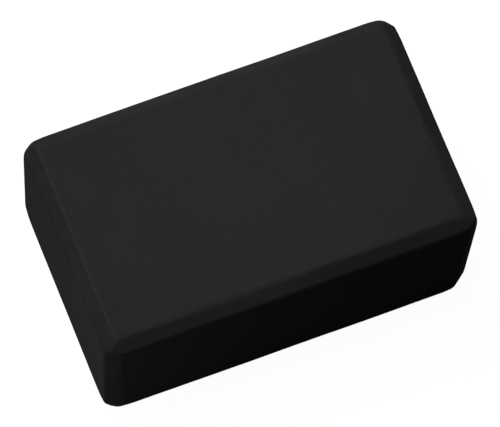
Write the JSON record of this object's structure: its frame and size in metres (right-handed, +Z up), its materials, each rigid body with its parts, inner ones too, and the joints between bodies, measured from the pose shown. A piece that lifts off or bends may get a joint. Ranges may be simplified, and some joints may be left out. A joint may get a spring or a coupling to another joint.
{
  "type": "yoga block",
  "caption": "Rectangular block of closed-cell foam for yoga, solid and matt, with a flat bevel along every edge and softened arrises.",
  "frame": {"origin": "centre of the large face that the block lies on", "axes": "+X along the length, +Y across the width, +Z up through the height, square to the large faces"},
  "size_m": [0.2286, 0.1396, 0.1016],
  "materials": {
    "foam": "matte"
  },
  "bodies": {
    "root": {"foam_block": "foam"}
  },
  "joints": []
}
